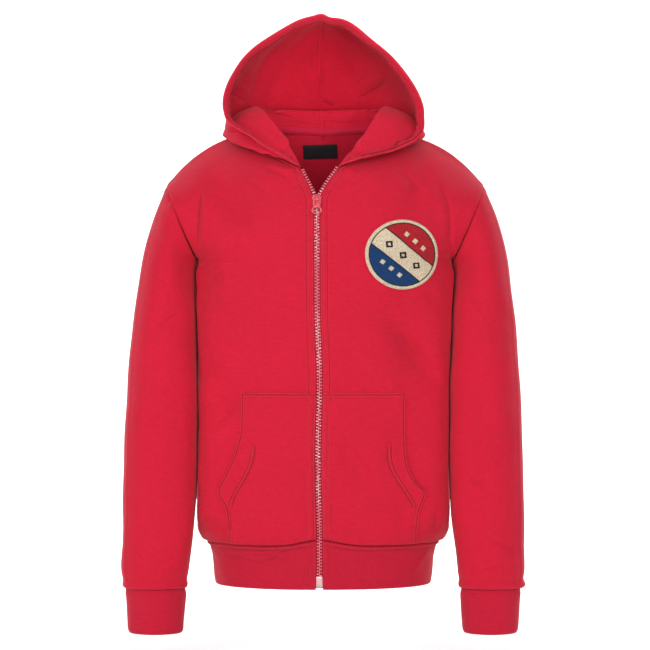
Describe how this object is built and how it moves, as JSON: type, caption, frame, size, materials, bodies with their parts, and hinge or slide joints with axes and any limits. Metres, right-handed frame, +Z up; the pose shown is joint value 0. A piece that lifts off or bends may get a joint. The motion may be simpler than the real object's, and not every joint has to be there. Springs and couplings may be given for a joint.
{
  "type": "child's zip-front hooded sweatshirt",
  "caption": "Hollow hooded sweatshirt filled out as worn, with a zip front, kangaroo pockets, rib cuffs and hem, and a round felt chest patch.",
  "frame": {"origin": "on the centre plane between the two shoulders, at the height where the wearer's shoulders hold the garment", "axes": "+X towards the wearer's left, -Y towards the wearer's front, +Z up"},
  "size_m": [0.5162, 0.2344, 0.7995],
  "materials": {
    "fleece": "red brushed sweatshirt fleece",
    "rib": "red rib knit",
    "tape": "red woven tape",
    "label": "black woven label",
    "felt": "cream felt, with coloured bands",
    "paint": "red paint, semi-gloss",
    "box_metal": "pale bright metal"
  },
  "bodies": {
    "garment": {"front_left": "fleece", "front_right": "fleece", "back": "fleece", "sleeve_left": "fleece", "sleeve_right": "fleece", "hood_left": "fleece", "hood_right": "fleece", "pocket_left": "fleece", "pocket_right": "fleece", "cuff_left": "rib", "cuff_right": "rib", "hem_rib": "rib", "zip_tape_left": "tape", "zip_tape_right": "tape", "neck_tape": "tape", "neck_label": "label", "chest_patch": "felt", "zip_slider": "paint", "zip_box": "box_metal"},
    "pull_tab": {"zip_pull_tab": "paint"}
  },
  "joints": [
    {"name": "pull_tab_hinge", "type": "hinge", "parent": "garment", "child": "pull_tab", "pos_m": [-0.00757, -0.10056, -0.06809], "axis": [-0.9998, 0, 0.021], "range_deg": [0, 140]}
  ]
}
